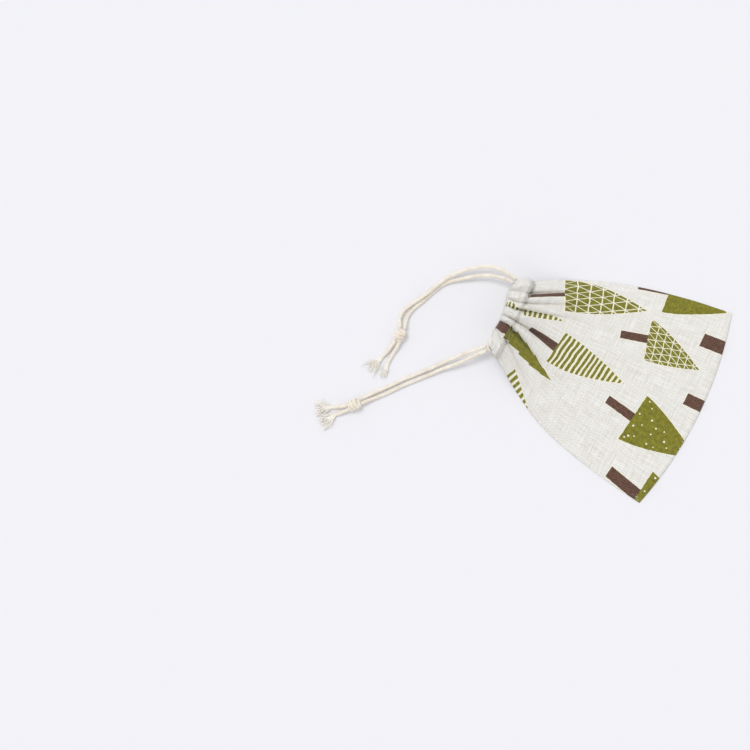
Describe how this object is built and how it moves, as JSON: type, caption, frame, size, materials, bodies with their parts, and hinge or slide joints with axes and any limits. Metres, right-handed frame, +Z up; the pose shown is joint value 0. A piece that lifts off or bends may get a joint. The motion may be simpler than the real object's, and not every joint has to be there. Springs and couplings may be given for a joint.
{
  "type": "drawstring gift pouch",
  "caption": "Small printed linen pouch drawn shut by knotted cords that run through a stitched channel round its mouth; lies on its back.",
  "frame": {"origin": "on the surface that the pouch lies on, under the middle of the cloth bag without its free cords", "axes": "+Y from the bottom fold towards the mouth, +X to the right seen from above the printed front, +Z up out of the table"},
  "size_m": [0.1868, 0.2306, 0.0181],
  "materials": {
    "printed_linen": "plain-woven off-white linen with a matt water-based tree print in olive green, brown and mustard",
    "linen_wrong_side": "unprinted side of the same linen",
    "sewing_thread": "spun polyester sewing thread, off-white",
    "cotton_cord": "three-strand twisted unbleached cotton cord, matt",
    "frayed_yarn": "loose yarns of the same cotton cord"
  },
  "bodies": {
    "pouch": {"front_panel": "printed_linen", "back_panel": "printed_linen", "front_channel": "printed_linen", "back_channel": "printed_linen", "front_channel_stitching": "sewing_thread", "back_channel_stitching": "sewing_thread", "right_cord_in_channel": "cotton_cord", "left_cord_in_channel": "cotton_cord"},
    "right_side": {"right_seam_allowance": "linen_wrong_side", "right_seam_stitching": "sewing_thread", "right_slit_tack": "sewing_thread"},
    "left_side": {"left_seam_allowance": "linen_wrong_side", "left_seam_stitching": "sewing_thread", "left_slit_tack": "sewing_thread"},
    "right_strands": {"right_cord_upper_strand": "cotton_cord", "right_cord_lower_strand": "cotton_cord"},
    "left_strands": {"left_cord_upper_strand": "cotton_cord", "left_cord_lower_strand": "cotton_cord"},
    "right_cord_end": {"right_cord_knot": "cotton_cord", "right_cord_long_tail": "cotton_cord", "right_cord_short_tail": "cotton_cord", "right_cord_long_fray": "frayed_yarn", "right_cord_short_fray": "frayed_yarn"},
    "left_cord_end": {"left_cord_knot": "cotton_cord", "left_cord_long_tail": "cotton_cord", "left_cord_short_tail": "cotton_cord", "left_cord_long_fray": "frayed_yarn", "left_cord_short_fray": "frayed_yarn"}
  },
  "joints": [
    {"name": "mouth_opens_right", "type": "hinge", "parent": "pouch", "child": "right_side", "pos_m": [0.07, -0.065, 0], "axis": [0, 0, -1], "range_deg": [0, 12], "deforming": ["front_panel", "back_panel", "front_channel", "back_channel", "front_channel_stitching", "back_channel_stitching", "right_cord_in_channel", "left_cord_in_channel"]},
    {"name": "mouth_opens_left", "type": "hinge", "parent": "pouch", "child": "left_side", "pos_m": [-0.07, -0.065, 0], "axis": [0, 0, 1], "range_deg": [0, 12]},
    {"name": "right_cord_swings", "type": "hinge", "parent": "right_side", "child": "right_strands", "pos_m": [0.025, 0.0729, 0], "axis": [0, 0, 1], "range_deg": [-60, 3]},
    {"name": "left_cord_swings", "type": "hinge", "parent": "left_side", "child": "left_strands", "pos_m": [-0.0225, 0.0704, 0], "axis": [0, 0, 1], "range_deg": [-4, 40]},
    {"name": "right_cord_draws", "type": "slide", "parent": "right_strands", "child": "right_cord_end", "axis": [-0.7766, 0.63, 0], "range_m": [-0.058, 0], "deforming": ["right_cord_upper_strand", "right_cord_lower_strand"]},
    {"name": "left_cord_draws", "type": "slide", "parent": "left_strands", "child": "left_cord_end", "axis": [-0.7561, 0.6544, 0], "range_m": [-0.058, 0], "deforming": ["left_cord_upper_strand", "left_cord_lower_strand"]}
  ],
  "couplings": [
    {"joint": "mouth_opens_left", "follows": "mouth_opens_right", "ratio": 1},
    {"joint": "right_cord_draws", "follows": "mouth_opens_right", "m_per_rad": -0.276},
    {"joint": "left_cord_draws", "follows": "mouth_opens_right", "m_per_rad": -0.276}
  ]
}
